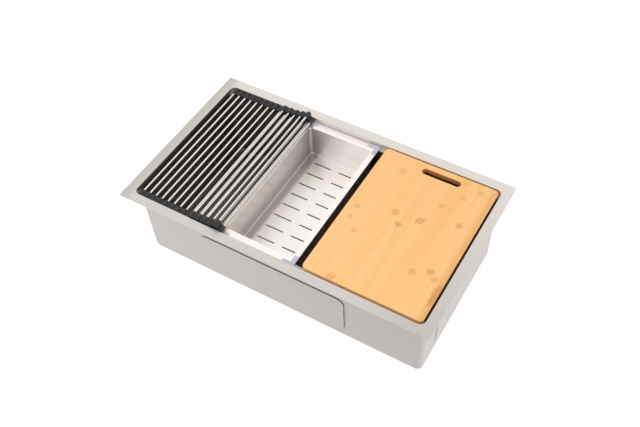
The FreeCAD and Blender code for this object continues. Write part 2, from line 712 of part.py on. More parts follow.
def ring(name, inner, outer, foot, top):
    """A flat ring on the drain's axis."""
    body = new_body(name)
    revolve(body, [(inner, foot), (outer, foot), (outer, top), (inner, top)])
    place_on_drain(body)


def make_strainer():
    body = new_body("strainer_body")
    cup_inner = "cup_radius - strainer_sheet"
    revolve(body, [
        ("outlet_bore", OUTLET_FOOT),
        ("outlet_radius", OUTLET_FOOT),
        ("outlet_radius", CUP_UNDERSIDE),
        ("seat_radius + strainer_sheet", CUP_UNDERSIDE),
        ("cup_radius", CUP_FOOT),
        ("cup_radius", STRAINER_FLANGE_FOOT),
        ("strainer_flange", STRAINER_FLANGE_FOOT),
        ("strainer_flange", total(STRAINER_TOP, "-strainer_sheet / 2")),
        ("strainer_flange - strainer_sheet", STRAINER_TOP),
        (cup_inner + " + strainer_sheet", STRAINER_TOP),
        (cup_inner, total(STRAINER_TOP, "-strainer_sheet")),
        (cup_inner, CUP_FOOT),
        ("seat_radius", SEAT_FOOT),
        ("outlet_bore", SEAT_FOOT),
    ])
    spider_top = SEAT_FOOT
    sketch = new_sketch(body, offset=spider_top)
    half_arm = "spider_arm / 2"
    arm = [("0", f"-{half_arm}"), ("outlet_bore + strainer_sheet", f"-{half_arm}"),
           ("outlet_bore + strainer_sheet", half_arm), ("0", half_arm)]
    draw_polygon(sketch, arm)
    first_arm = pad(body, sketch, "spider_height", down=True)
    around_axis(body, first_arm, SPIDER_ARMS)
    sketch = new_sketch(body, offset=spider_top)
    draw_circle(sketch, "0", "0", "spider_hub")
    pad(body, sketch, "spider_height", down=True)
    sketch = new_sketch(body, offset=spider_top)
    draw_circle(sketch, "0", "0", "post_radius + post_fit")
    pocket(body, sketch, "spider_height")
    place_on_drain(body)


def make_nut(name, outline, outer, foot, height):
    """A turned nut with square lugs round it."""
    body = new_body(name)
    revolve(body, outline)
    sketch = new_sketch(body, offset=foot)
    half = "lug_width / 2"
    inside = f"({outer}) - lug_root"
    outside = f"({outer}) + lug_length"
    draw_polygon(sketch, [(inside, f"-{half}"), (outside, f"-{half}"), (outside, half), (inside, half)])
    lug = pad(body, sketch, height)
    around_axis(body, lug, NUT_LUGS)
    place_on_drain(body)


def make_waste():
    neck = "cup_radius + thread_fit"
    ring("strainer_seal", "drain_hole", "strainer_flange", RECESS_TOP, STRAINER_FLANGE_FOOT)
    ring("rubber_gasket", neck, "clamp_radius", GASKET_FOOT, RECESS_FOOT)
    ring("slip_washer", neck, "clamp_radius", WASHER_FOOT, GASKET_FOOT)
    make_nut("lock_nut", [
        (neck, LOCK_NUT_FOOT),
        ("clamp_radius - lug_length", LOCK_NUT_FOOT),
        ("clamp_radius - lug_length", total(WASHER_FOOT, "-gasket_thick")),
        ("clamp_radius", total(WASHER_FOOT, "-gasket_thick")),
        ("clamp_radius", WASHER_FOOT),
        (neck, WASHER_FOOT),
    ], "clamp_radius - lug_length", LOCK_NUT_FOOT, "lock_nut_height")
    ring("tail_washer", "outlet_bore", "outlet_radius", TAIL_TOP, OUTLET_FOOT)
    make_tailpiece()
    nut_bore = "outlet_radius + thread_fit"
    flange_room = "tail_flange + thread_fit"
    skirt_foot = total(TAIL_TOP, "-tail_wall", "-slip_nut_skirt")
    shoulder = total(TAIL_TOP, "-tail_wall")
    grip_top = total(TAIL_TOP, "slip_nut_grip")
    make_nut("coupling_nut", [
        ("tail_radius + lip_fit", skirt_foot),
        ("slip_nut_radius", skirt_foot),
        ("slip_nut_radius", grip_top),
        (nut_bore, grip_top),
        (nut_bore, total(TAIL_TOP, "tail_washer_thick")),
        (flange_room, TAIL_TOP),
        (flange_room, shoulder),
        ("tail_radius + lip_fit", shoulder),
    ], "slip_nut_radius", skirt_foot, total("slip_nut_grip", "slip_nut_skirt", "tail_wall", "-gasket_thick"))


def make_tailpiece():
    body = new_body("tailpiece")
    bore = "tail_radius - tail_wall"
    foot = total(TAIL_TOP, "-tail_length")
    revolve(body, [(bore, foot), ("tail_radius", foot), ("tail_radius", total(TAIL_TOP, "-tail_wall")),
                   ("tail_flange", total(TAIL_TOP, "-tail_wall")), ("tail_flange", TAIL_TOP), (bore, TAIL_TOP)])
    place_on_drain(body)


# the strainer basket

BASKET_TOP = total(STRAINER_TOP, "-basket_drop")
STOPPER_FOOT = total(SEAT_FOOT, "soft_gap")
BASKET_FOOT = total(STOPPER_FOOT, "stopper_thick")
BASKET_MIDDLE = f"({BASKET_TOP}) / 2 + ({BASKET_FOOT}) / 2"


def make_basket():
    body = new_body("basket_shell")
    bore = "post_radius + socket_fit"
    revolve(body, [
        (bore, BASKET_FOOT),
        ("basket_foot", BASKET_FOOT),
        ("basket_radius - basket_rim + basket_sheet", total(BASKET_TOP, "-basket_sheet")),
        ("basket_radius", total(BASKET_TOP, "-basket_sheet")),
        ("basket_radius", BASKET_TOP),
        ("basket_radius - basket_rim", BASKET_TOP),
        ("basket_foot - basket_sheet", total(BASKET_FOOT, "basket_sheet")),
        (bore, total(BASKET_FOOT, "basket_sheet")),
    ])
    sketch = new_sketch(body, "YZ_Plane")
    draw_circle(sketch, "0", BASKET_MIDDLE, "basket_hole")
    wall_hole = pocket(body, sketch, "basket_radius", up=True)
    around_axis(body, wall_hole, BASKET_WALL_HOLES)
    sketch = new_sketch(body, offset=total(BASKET_FOOT, "basket_sheet"))
    draw_circle(sketch, "floor_hole_circle", "0", "basket_hole")
    floor_hole = pocket(body, sketch, "basket_sheet")
    around_axis(body, floor_hole, BASKET_FLOOR_HOLES)
    place_on_drain(body)

    body = new_body("basket_stopper")
    revolve(body, [
        (bore, STOPPER_FOOT),
        ("stopper_radius - stopper_thick / 2", STOPPER_FOOT),
        ("stopper_radius", total(STOPPER_FOOT, "stopper_thick / 2")),
        ("stopper_radius", BASKET_FOOT),
        (bore, BASKET_FOOT),
    ])
    place_on_drain(body)

    body = new_body("basket_post")
    post_foot = total(SEAT_FOOT, "-spider_height")
    knob_foot = total(BASKET_TOP, "-knob_height / 2")
    knob_top = total(knob_foot, "knob_height")
    revolve(body, [
        ("0", post_foot),
        ("post_radius", post_foot),
        ("post_radius", knob_foot),
        ("knob_neck", knob_foot),
        ("knob_radius", total(knob_foot, "knob_slope")),
        ("knob_radius", total(knob_top, "-knob_slope")),
        ("knob_crown", knob_top),
        ("0", knob_top),
    ])
    place_on_drain(body)


def check_and_export():
    document.recompute()
    broken = [o.Name for o in document.Objects if {"Invalid", "Error"} & set(o.State)]
    if broken:
        raise RuntimeError("failed: " + ", ".join(broken))
    for piece in sub_parts:
        if piece.Shape.isNull() or not piece.Shape.isValid() or len(piece.Shape.Solids) != 1:
            raise RuntimeError("no sound solid: " + piece.Label)
    os.makedirs("parts", exist_ok=True)
    for piece in sub_parts:
        piece.Shape.exportStep(f"parts/{piece.Label}.step")
    print(len(sub_parts), "pieces")


make_bowl()
make_pads()
make_rack()
make_tray()
make_guards()
make_board()
make_strainer()
make_waste()
make_basket()
check_and_export()
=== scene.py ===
import json
import math

import bpy
from mathutils import Matrix, Vector

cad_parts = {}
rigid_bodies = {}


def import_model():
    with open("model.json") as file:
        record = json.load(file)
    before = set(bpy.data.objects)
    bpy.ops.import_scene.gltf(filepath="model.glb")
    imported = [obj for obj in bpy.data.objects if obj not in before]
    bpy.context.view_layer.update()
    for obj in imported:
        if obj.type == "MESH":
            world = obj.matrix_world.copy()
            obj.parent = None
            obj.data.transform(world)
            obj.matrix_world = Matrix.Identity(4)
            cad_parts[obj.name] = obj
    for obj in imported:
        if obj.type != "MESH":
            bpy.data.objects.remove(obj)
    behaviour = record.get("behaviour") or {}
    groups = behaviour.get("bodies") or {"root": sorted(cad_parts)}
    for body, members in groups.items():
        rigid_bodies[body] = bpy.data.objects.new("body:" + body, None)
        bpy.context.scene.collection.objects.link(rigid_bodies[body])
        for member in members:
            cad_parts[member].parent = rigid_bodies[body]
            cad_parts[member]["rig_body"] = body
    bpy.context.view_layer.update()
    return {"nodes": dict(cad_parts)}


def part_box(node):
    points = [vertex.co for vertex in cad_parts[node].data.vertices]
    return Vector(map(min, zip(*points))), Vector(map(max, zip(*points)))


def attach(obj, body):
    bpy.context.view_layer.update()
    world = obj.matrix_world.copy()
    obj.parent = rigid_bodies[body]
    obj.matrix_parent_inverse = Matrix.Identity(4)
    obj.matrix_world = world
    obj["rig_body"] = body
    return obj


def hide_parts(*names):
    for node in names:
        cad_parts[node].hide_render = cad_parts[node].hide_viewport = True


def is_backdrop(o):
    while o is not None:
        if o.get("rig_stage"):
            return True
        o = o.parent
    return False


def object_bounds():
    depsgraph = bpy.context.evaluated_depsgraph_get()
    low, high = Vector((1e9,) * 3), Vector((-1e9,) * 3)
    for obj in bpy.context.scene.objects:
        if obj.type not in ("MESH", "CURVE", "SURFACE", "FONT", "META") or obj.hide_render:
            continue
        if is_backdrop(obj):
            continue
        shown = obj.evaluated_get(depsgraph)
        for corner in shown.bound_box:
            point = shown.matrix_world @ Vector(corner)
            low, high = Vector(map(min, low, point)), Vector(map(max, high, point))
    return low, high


bl_info = {
    "name": "Workstation Sink Looks",
    "version": (1, 0, 0),
    "blender": (4, 5, 0),
    "location": "3D View > Sidebar > Sink",
    "description": "Finishes and fine pieces for a workstation kitchen sink, and its studio",
    "category": "Object",
}

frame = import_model()
nodes = frame["nodes"]

MM = 0.001
PICTURE_WIDTH = 640

RIM_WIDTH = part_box("bowl")[1].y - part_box("bowl")[0].y
TRAY_LOW, TRAY_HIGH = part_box("colander_tray")
BOARD_LOW, BOARD_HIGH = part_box("cutting_board")
FRONT_PAD = "front_sound_pad"
PAD_NODES = [n for n in nodes if n.endswith("_pad") and n != FRONT_PAD]
ROD_NODES = [n for n in nodes if n.startswith("rod_")]
BAND_NODES = [n for n in nodes if "_band_" in n]
GUARD_NODES = [n for n in nodes if n.startswith("corner_guard_")]

# the drain's axis, and the strainer's two threads: radius, top and foot
DRAIN_AXIS = Vector((0, 100.0 * MM, 0))
CUP_THREAD = (43.0 * MM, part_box("lock_nut")[0].z, -264.9 * MM)
OUTLET_THREAD = (20.6 * MM, -274.4 * MM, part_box("coupling_nut")[1].z)
THREAD_SIDES = 6
STEPS_PER_TURN = 48

# where the finishes change: distances from the middle, and heights from the rim's top face
END_STRIP = 392 * MM
END_WALL = 393.45 * MM
INSIDE_CORNER_X, INSIDE_CORNER_Y = 388.5 * MM, 197.5 * MM
PAD_FACE_X, PAD_FACE_Y = 396.8 * MM, 206.9 * MM
RIM_UNDERSIDE = -1.1 * MM
RIM_BEND_FOOT = -2.2 * MM
LEDGE_UNDERSIDE = -15.6 * MM
BOWL_MIDDLE = 100 * MM

# directions that surfaces face, and the one that the rods' painted highlight faces
RIGHT, BACK, FRONT = (1, 0, 0), (0, 1, 0), (0, -1, 0)
UP, DOWN = (0, 0, 1), (0, 0, -1)
ROD_PAINTED_HIGHLIGHT = (0.26, 0.0, 0.966)

# noise for each axis: low along the lines of a finish, and high across them
BRUSHED_ALONG_X = (12, 900, 900)
BRUSHED_ALONG_Y = (900, 12, 900)
TRAY_BRUSHING = (900, 10, 900)
TURNED_LINES = (60, 60, 2600)
DRAWN_LINES = (1400, 9, 1400)
BAMBOO_FIBRE = (520, 7, 520)
BAMBOO_BANDS = (70, 1.6, 70)
MARK_STREAKS = (330, 40, 330)
SMUDGE = (1, 0.5, 1)

# painted light on the rim, its tone running from front left to back between dim and bright colour
FRONT_PAINTED_LIGHT = 0.44
BACK_PAINTED_LIGHT = 0.94

# the floor: its size, how far it lies under the part, and how white the camera sees it
FLOOR_RADIUS = 30.0
FLOOR_GAP = 0.2 * MM
FLOOR_GLOW = 0.9
FLOOR_WHITE = 1.05
WHITE = (1.0, 1.0, 1.0, 1.0)

FLAT_ANGLE = math.radians(1)
SMOOTH_ANGLE = math.radians(35)
EDGE_ANGLE = math.radians(50)


def shop_colour(red, green, blue):
    """A colour as a paint card gives it, 0 to 255, in the linear values that Blender keeps."""
    def linear(level):
        level /= 255
        return level / 12.92 if level <= 0.04045 else ((level + 0.055) / 1.055) ** 2.4
    return linear(red), linear(green), linear(blue)


def scaled(colour, factor):
    """A colour made darker or lighter."""
    return [min(1.0, level * factor) for level in colour]


# sizes and colours that a user may change

def colour_setting(name, description, default):
    return bpy.props.FloatVectorProperty(name=name, description=description, subtype="COLOR",
                                         size=3, min=0.0, max=1.0, default=default)


def length_setting(name, description, default):
    return bpy.props.FloatProperty(name=name, description=description, unit="LENGTH",
                                   default=default)


def share_setting(name, description, default):
    return bpy.props.FloatProperty(name=name, description=description, subtype="FACTOR",
                                   min=0.0, max=1.0, default=default)


def number_setting(name, description, default):
    return bpy.props.FloatProperty(name=name, description=description, default=default)


def angle_setting(name, description, degrees):
    return bpy.props.FloatProperty(name=name, description=description, subtype="ANGLE",
                                   default=math.radians(degrees))


class SteelSettings(bpy.types.PropertyGroup):
    """Sheet steel, its coat and the bowl's inside."""
    rim: colour_setting("Rim", "Satin steel of the rim and the ledge", shop_colour(212, 206, 200))
    coat: colour_setting("Coat", "Sprayed coat on the bowl's outside", shop_colour(187, 181, 179))
    # painted shade: the bowl's inside is the rim's steel, coloured darker
    inside: colour_setting("Inside", "Dark inside of the bowl", shop_colour(150, 131, 122))
    tray: colour_setting("Tray", "Satin steel of the colander tray", shop_colour(255, 250, 245))
    # painted reflection and shadow in the tray
    tray_painted_shade: colour_setting("Dim tray", "Where the tray mirrors the dark rack",
                             shop_colour(190, 184, 180))
    polished: colour_setting("Polished", "Strainer and tailpiece", shop_colour(212, 213, 215))
    # painted shadow: the dark line along the front pad's top and right edges
    pad_edge_shadow: colour_setting("Pad edge", "Rubber at the front sound pad's cut edge",
                             shop_colour(92, 86, 84))
    satin: share_setting("Satin", "Roughness of the satin steel", 0.42)


class RackSettings(bpy.types.PropertyGroup):
    """The roll-up rack."""
    rod: colour_setting("Rods", "Drawn steel of the rods", shop_colour(255, 253, 251))
    silicone: colour_setting("Silicone", "Silicone of the bands", shop_colour(34, 34, 36))
    soft_edge: length_setting("Soft edge", "Rounding of the silicone's edges", 0.9 * MM)


class BoardSettings(bpy.types.PropertyGroup):
    """The bamboo board and the tray's guards."""
    bamboo: colour_setting("Bamboo", "Main colour of the board", shop_colour(249, 192, 122))
    pale: colour_setting("Pale strip", "Palest strips", shop_colour(253, 204, 142))
    dark: colour_setting("Grain", "Dark lines of the grain", shop_colour(236, 168, 92))
    knot: colour_setting("Joint marks", "Marks where the cane had its joints",
                         shop_colour(200, 132, 62))
    slot_brown: colour_setting("Grip", "Wall of the grip slot", shop_colour(190, 124, 70))
    strip: length_setting("Strip", "Width of the glued strips", 21.0 * MM)
    guard: colour_setting("Guards", "Plastic guards on the tray's corners",
                          shop_colour(200, 198, 214))


class WasteSettings(bpy.types.PropertyGroup):
    """The parts of the waste below the bowl."""
    rubber: colour_setting("Rubber", "Seal, gasket and stopper", shop_colour(38, 38, 38))
    plastic: colour_setting("Plastic", "Nuts and washer", shop_colour(228, 228, 224))
    fibre: colour_setting("Fibre", "Slip washer", shop_colour(168, 140, 104))
    thread_pitch: length_setting("Thread pitch", "Pitch of the outlet's and the cup's threads",
                                 2.2 * MM)
    thread_depth: length_setting("Thread depth", "How far a thread stands out", 0.5 * MM)


class StudioSettings(bpy.types.PropertyGroup):
    """Camera, light and floor."""
    azimuth: angle_setting("Azimuth", "Camera to the right of straight ahead", 32.35)
    elevation: angle_setting("Elevation", "Camera above the horizon", 53.16)
    roll: angle_setting("Roll", "Turn of the picture", -2.75)
    distance: length_setting("Distance", "Camera to the place it was aimed at", 1.851)
    aim_x: length_setting("Aim X", "Place on the rim's plane that the camera was aimed at", 0.115)
    aim_y: length_setting("Aim Y", "Place on the rim's plane that the camera was aimed at", -0.1305)
    focal: number_setting("Focal length", "In picture pixels", 803.7)
    shift_x: number_setting("Shift X", "In picture pixels", 10.7)
    shift_y: number_setting("Shift Y", "In picture pixels", 33.9)
    floor: colour_setting("Floor", "Floor and backdrop", (0.9, 0.9, 0.9))
    sky: number_setting("Room light", "Strength of the even light", 0.6)
    key: number_setting("Key light", "Power of the large soft lamp in watts", 18.0)
    fill: number_setting("Fill light", "Power of the front lamp in watts", 17.0)
    side: number_setting("Side light", "Power of the right lamp in watts", 28.0)


SETTINGS = {
    "sink_steel": SteelSettings,
    "sink_rack": RackSettings,
    "sink_board": BoardSettings,
    "sink_waste": WasteSettings,
    "sink_studio": StudioSettings,
}


# materials

class Wire:
    """A shader socket that can be used in an expression."""

    def __init__(self, graph, socket):
        self.graph = graph
        self.socket = socket

    def math(self, operation, *others):
        inputs = dict(enumerate((self, *others)))
        return self.graph.node("ShaderNodeMath", {"operation": operation}, inputs)

    def __add__(self, other):
        return self.math("ADD", other)

    __radd__ = __add__

    def __sub__(self, other):
        return self.math("SUBTRACT", other)

    def __rsub__(self, other):
        return self.graph.node("ShaderNodeMath", {"operation": "SUBTRACT"}, {0: other, 1: self})

    def __mul__(self, other):
        return self.math("MULTIPLY", other)

    __rmul__ = __mul__

    def __truediv__(self, other):
        return self.math("DIVIDE", other)

    def __abs__(self):
        return self.math("ABSOLUTE")

    def larger(self, other):
        return self.math("MAXIMUM", other)

    def floor(self):
        return self.math("FLOOR")

    def above(self, edge, soft):
        """0 below the edge and 1 above it, over a soft width."""
        inputs = {0: self, 1: edge - soft / 2, 2: edge + soft / 2}
        return self.graph.node("ShaderNodeMapRange", {"interpolation_type": "SMOOTHSTEP"}, inputs)

    def below(self, edge, soft):
        return 1 - self.above(edge, soft)


class Graph:
    """The nodes of a material or a world, and what they put out."""

    def __init__(self, owner, output):
        owner.use_nodes = True
        self.tree = owner.node_tree
        self.tree.nodes.clear()
        self.output = self.tree.nodes.new(output)

    def node(self, kind, settings=None, inputs=None, output=0):
        made = self.tree.nodes.new(kind)
        for name, setting in (settings or {}).items():
            setattr(made, name, setting)
        for key, given in (inputs or {}).items():
            if isinstance(given, Wire):
                self.tree.links.new(given.socket, made.inputs[key])
            else:
                made.inputs[key].default_value = given
        return Wire(self, made.outputs[output])

    def show(self, surface):
        self.tree.links.new(surface.socket, self.output.inputs["Surface"])


class Finish(Graph):
    """A material being made: its nodes and the shader that they feed."""

    def __init__(self, name):
        self.material = bpy.data.materials.new(name)
        super().__init__(self.material, "ShaderNodeOutputMaterial")
        self.shader = self.tree.nodes.new("ShaderNodeBsdfPrincipled")
        self.surface = Wire(self, self.shader.outputs[0])
        self.show(self.surface)
        self.place = self.node("ShaderNodeTexCoord", output="Object")
        self.x, self.y, self.z = (
            self.node("ShaderNodeSeparateXYZ", inputs={0: self.place}, output=axis)
            for axis in "XYZ")

    def stretched(self, scale):
        """The place on the piece with each axis scaled."""
        return self.node("ShaderNodeVectorMath", {"operation": "MULTIPLY"},
                         {0: self.place, 1: scale})

    def noise(self, scale, stretch=(1, 1, 1), *, detail, roughness=0.5):
        inputs = {"Vector": self.stretched(stretch), "Scale": scale,
                  "Detail": detail, "Roughness": roughness}
        return self.node("ShaderNodeTexNoise", {"noise_dimensions": "3D"}, inputs)

    def pick(self, number):
        """A steady random value for each whole number."""
        return self.node("ShaderNodeTexWhiteNoise", {"noise_dimensions": "1D"}, {"W": number})

    def mixed(self, share, first, second):
        """A colour between two."""
        inputs = {0: share, 6: first if isinstance(first, Wire) else (*first, 1.0),
                  7: second if isinstance(second, Wire) else (*second, 1.0)}
        return self.node("ShaderNodeMix", {"data_type": "RGBA"}, inputs, output=2)

    def facing(self, direction):
        """How far the surface faces a direction, from -1 to 1."""
        normal = self.node("ShaderNodeNewGeometry", output="Normal")
        return self.node("ShaderNodeVectorMath", {"operation": "DOT_PRODUCT"},
                         {0: normal, 1: direction}, output="Value")

    def bump(self, height, distance, strength):
        inputs = {"Height": height, "Distance": distance, "Strength": strength}
        self.feed(Normal=self.node("ShaderNodeBump", inputs=inputs))

    def feed(self, **sockets):
        for key, given in sockets.items():
            socket = self.shader.inputs[key.replace("_", " ")]
            if isinstance(given, Wire):
                self.tree.links.new(given.socket, socket)
            elif isinstance(given, (int, float)):
                socket.default_value = given
            else:
                socket.default_value = (*given, 1.0)
        return self.material


def streaks(finish, stretch):
    """Fine brushing lines, around 0."""
    return finish.noise(1.0, stretch, detail=2.0, roughness=0.6) - 0.5


def speckle_and_cloud(finish):
    """A fine speckle and a broad unevenness, both around 0."""
    return finish.noise(900.0, detail=1.0) - 0.5, finish.noise(5.0, detail=2.0) - 0.5


def sprayed(finish, settings, speckle, cloud):
    """The colour of the sprayed coat, a little uneven."""
    return finish.mixed(speckle * 0.6 + 0.5 + cloud * 0.4,
                        scaled(settings.coat, 0.95), scaled(settings.coat, 1.04))


def satin_steel(settings):
    """The bowl: a satin rim and ledge with painted light, a sprayed coat outside and painted shade
    inside.
    """
    finish = Finish("satin_steel")
    along_x = streaks(finish, BRUSHED_ALONG_X)
    along_y = streaks(finish, BRUSHED_ALONG_Y)
    on_end = abs(finish.x).above(END_STRIP, 2 * MM)
    brushing = along_x + (along_y - along_x) * on_end
    speckle, cloud = speckle_and_cloud(finish)

    # painted light brightens the rim from front left to back; painted shade dims its left strip
    to_back = finish.y / RIM_WIDTH + 0.5
    front_painted_light = finish.x.below(290 * MM, 200 * MM) * FRONT_PAINTED_LIGHT
    off_left = finish.x.above(-395 * MM, 30 * MM)
    tone = (front_painted_light + (BACK_PAINTED_LIGHT - front_painted_light) * to_back) * off_left
    rim = finish.mixed(tone + brushing * 0.3 + cloud * 0.2,
                       scaled(settings.rim, 0.88), scaled(settings.rim, 1.2))
    coat = sprayed(finish, settings, speckle, cloud)
    # painted highlight along the inside's upright corners
    painted_corner_highlight = (abs(finish.x).above(INSIDE_CORNER_X, 4 * MM)
                   * abs(finish.y).above(INSIDE_CORNER_Y, 4 * MM))
    # painted shade: the inside below the ledge gets the darker inside colour
    inside = finish.mixed(painted_corner_highlight * 0.28 + (speckle + 0.5) * 0.04,
                          settings.inside, settings.rim)

    from_middle = finish.node("ShaderNodeVectorMath", {"operation": "ADD"},
                              {0: finish.place, 1: (0, 0, BOWL_MIDDLE)})
    faces_out = finish.facing(from_middle).above(0.0, 0.002)
    on_outside = faces_out * finish.z.below(RIM_UNDERSIDE, 0.1 * MM)
    in_end_wall = abs(finish.x).above(END_WALL, 0.4 * MM) * finish.z.below(RIM_BEND_FOOT, 0.8 * MM)
    below_ledge = finish.z.below(LEDGE_UNDERSIDE, 0.5 * MM)
    on_inside = in_end_wall.larger(below_ledge) * (1 - faces_out)
    colour = finish.mixed(on_outside, finish.mixed(on_inside, rim, inside), coat)
    metal = (1 - on_outside) * 0.85
    rough = settings.satin + on_outside * 0.3 + brushing * 0.12
    finish.bump(brushing * (1 - on_outside) + speckle * on_outside * 0.8, 0.05 * MM, 0.35)
    return finish.feed(Base_Color=colour, Metallic=metal, Roughness=rough)


def sound_coat(name, settings, edge):
    """A rubber pad under the sprayed coat. The given colour is painted on its cut edge: shadow on
    the front pad, light on the others.
    """
    finish = Finish(name)
    speckle, cloud = speckle_and_cloud(finish)
    coat = sprayed(finish, settings, speckle, cloud)
    upright = abs(finish.facing(RIGHT)).larger(abs(finish.facing(BACK)))
    lowest = finish.facing(DOWN)
    outermost = (abs(finish.x).above(PAD_FACE_X, 0.4 * MM)
                 .larger(abs(finish.y).above(PAD_FACE_Y, 0.4 * MM))
                 .larger(lowest.above(0.9, 0.05)))
    on_face = outermost * upright.larger(lowest).above(0.9, 0.05)
    finish.bump(speckle, 0.05 * MM, 0.3)
    return finish.feed(Base_Color=finish.mixed(on_face, edge, coat), Roughness=0.72 + speckle * 0.1)


def tray_steel(settings):
    """Satin steel brushed along the tray, with painted reflection of the dark rack on its left and
    back walls and painted shadow along its floor's left edge.
    """
    finish = Finish("tray_steel")
    brushing = streaks(finish, TRAY_BRUSHING)
    cloud = finish.noise(7.0, detail=2.0) - 0.5
    bright = finish.mixed(brushing * 0.3 + 0.9 + cloud * 0.3,
                          scaled(settings.tray, 0.9), settings.tray)
    from_left = finish.x - TRAY_LOW.x
    basin = finish.z.below(TRAY_HIGH.z - 3 * MM, 2 * MM)
    # painted reflection of the dark rack on the left and back walls, painted shadow along the
    # floor's left edge
    left_wall = finish.facing(RIGHT).above(0.6, 0.4) * basin * from_left.below(30 * MM, 4 * MM)
    left_wall = left_wall * (0.7 + finish.y.above(100 * MM, 160 * MM) * 0.25)
    back_wall = finish.facing(FRONT).above(0.6, 0.4) * basin * from_left.below(45 * MM, 50 * MM)
    on_floor = finish.facing(UP).above(0.7, 0.3) * basin
    floor_painted_shadow = on_floor * from_left.below(38 * MM, 14 * MM)
    dim = left_wall.larger(back_wall).larger(floor_painted_shadow)
    colour = finish.mixed(dim, bright, settings.tray_painted_shade)
    finish.bump(brushing, 0.02 * MM, 0.2)
    return finish.feed(Base_Color=colour, Metallic=0.82,
                       Roughness=settings.satin - 0.1 + brushing * 0.1)


def polished_steel(settings):
    """Bright steel with the faint rings of its turning."""
    finish = Finish("polished_steel")
    turned = streaks(finish, TURNED_LINES)
    colour = finish.mixed(turned * 0.6 + 0.5, scaled(settings.polished, 0.92), settings.polished)
    finish.bump(turned, 0.02 * MM, 0.2)
    return finish.feed(Base_Color=colour, Metallic=1.0, Roughness=0.2 + turned * 0.08)


def rod_steel(settings):
    """Drawn steel with faint lines along the rod, a painted highlight on its crown, and flanks
    painted darker as a reflection of the dark bowl.
    """
    finish = Finish("rod_steel")
    drawn = streaks(finish, DRAWN_LINES)
    # painted highlight on the crown, painted reflection of the dark bowl on the flanks
    painted_highlight = finish.facing(ROD_PAINTED_HIGHLIGHT).above(0.93, 0.12)
    bright = finish.mixed(drawn * 0.7 + 0.5, scaled(settings.rod, 0.9), settings.rod)
    colour = finish.mixed(painted_highlight, scaled(settings.rod, 0.5), bright)
    return finish.feed(Base_Color=colour, Metallic=0.95, Roughness=0.2 + drawn * 0.1)


def black_silicone(settings):
    """Matt silicone with a little pale dust."""
    finish = Finish("black_silicone")
    grain = finish.noise(1300.0, detail=2.0) - 0.5
    dust = finish.noise(60.0, detail=4.0).above(0.58, 0.25)
    colour = finish.mixed(dust * 0.12, settings.silicone, scaled(settings.silicone, 3.5))
    finish.bump(grain, 0.06 * MM, 0.35)
    return finish.feed(Base_Color=colour, Roughness=0.5 + grain * 0.2)


def moulded(name, colour, rough, tone=0.06):
    """Moulded plastic or rubber, with the fine grain of its mould."""
    finish = Finish(name)
    grain = finish.noise(1100.0, detail=2.0) - 0.5
    cloud = finish.noise(40.0, detail=2.0)
    shade = finish.mixed(cloud, scaled(colour, 1 - tone), colour)
    finish.bump(grain, 0.04 * MM, 0.3)
    return finish.feed(Base_Color=shade, Roughness=rough + grain * 0.15)


def guard_plastic(settings):
    """Milky plastic with a soft shine."""
    finish = Finish("guard_plastic")
    grain = finish.noise(900.0, detail=2.0) - 0.5
    cloud = finish.noise(60.0, detail=2.0)
    shade = finish.mixed(cloud, scaled(settings.guard, 0.93), settings.guard)
    finish.bump(grain, 0.03 * MM, 0.25)
    return finish.feed(Base_Color=shade, Roughness=0.35 + grain * 0.1, Coat_Weight=0.2)


# joint marks of the cane on the board: X, Y and half width across the grain in millimetres,
# and strength
JOINT_MARKS = [
    (199, 34, 10, 0.8), (220, 4, 9, 0.9), (261, 37, 11, 0.9), (347, 67, 9, 0.9),
    (154, 158, 11, 0.4), (323, 148, 8, 0.55), (286, 103, 8, 0.45), (352, 182, 10, 0.45),
    (307, 194, 9, 0.4), (309, -101, 10, 0.6), (345, -84, 9, 0.8), (363, -99, 9, 0.5),
    (109, 6, 8, 0.5), (109, -29, 8, 0.35), (138, -62, 8, 0.5), (155, -202, 12, 0.6),
]
MARK_FLATTENING = 0.85
# the stain at the board's right edge: X, Y, and half its size across and along the grain
EDGE_STAIN = (385, -135, 14, 46)


def blot(finish, middle, reach, smears, edge, soft):
    """1 on a smeared spot and 0 away from it. Its middle and reach are X and Y in millimetres."""
    across, along = (
        (place - at * MM) / (half * MM) + smear
        for place, at, half, smear in zip((finish.x, finish.y), middle, reach, smears))
    return (across * across + along * along).below(edge, soft)


